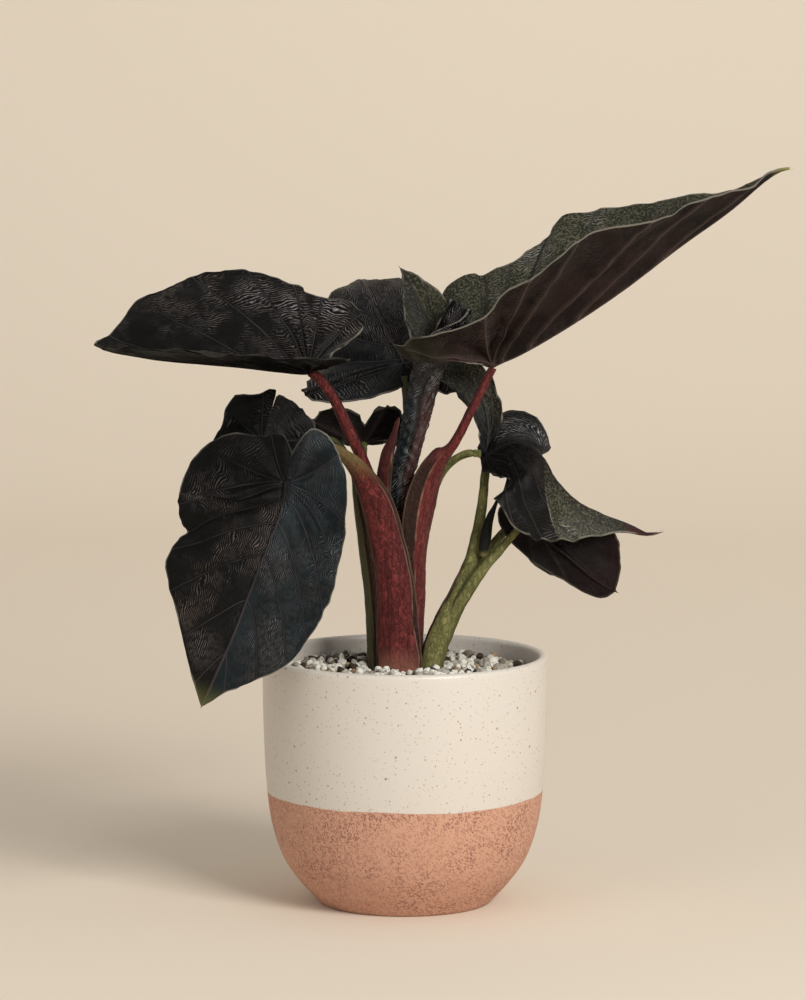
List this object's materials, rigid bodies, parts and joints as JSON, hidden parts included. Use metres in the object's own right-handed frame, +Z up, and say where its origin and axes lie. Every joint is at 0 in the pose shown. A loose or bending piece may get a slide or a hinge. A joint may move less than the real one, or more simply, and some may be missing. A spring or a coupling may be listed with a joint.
{
  "type": "potted velvet alocasia",
  "caption": "Houseplant with dark velvet heart-shaped leaves on sheathing stalks and a small side shoot, in a round two-tone speckled ceramic planter topped with perlite.",
  "frame": {"origin": "centre of the planter's flat foot, on the surface it stands on", "axes": "+Z up; the pictured side faces -Y; +X to the right in that view"},
  "size_m": [0.3647, 0.1904, 0.3873],
  "materials": {
    "velvet_leaf": "satin",
    "red_stalk": "satin",
    "green_stalk": "satin",
    "red_bract": "satin",
    "potting_soil": "matte",
    "perlite": "matte",
    "speckled_ceramic": "satin"
  },
  "bodies": {
    "root": {"front_left_leaf": "velvet_leaf", "upper_left_leaf": "velvet_leaf", "upper_right_leaf": "velvet_leaf", "back_leaf": "velvet_leaf", "back_left_leaf": "velvet_leaf", "drooping_leaf": "velvet_leaf", "right_leaf": "velvet_leaf", "offset_upright_leaf": "velvet_leaf", "offset_low_leaf": "velvet_leaf", "offset_hidden_leaf": "velvet_leaf", "newest_leaf": "velvet_leaf", "offset_spike": "velvet_leaf", "front_left_stalk": "red_stalk", "upper_right_stalk": "red_stalk", "upper_left_stalk": "red_stalk", "newest_leaf_stalk": "red_stalk", "back_stalk": "red_stalk", "back_left_stalk": "green_stalk", "drooping_stalk": "green_stalk", "right_stalk": "green_stalk", "offset_stalks": "green_stalk", "crown_bract": "red_bract", "potting_soil": "potting_soil", "perlite_top": "perlite", "planter": "speckled_ceramic"}
  },
  "joints": []
}
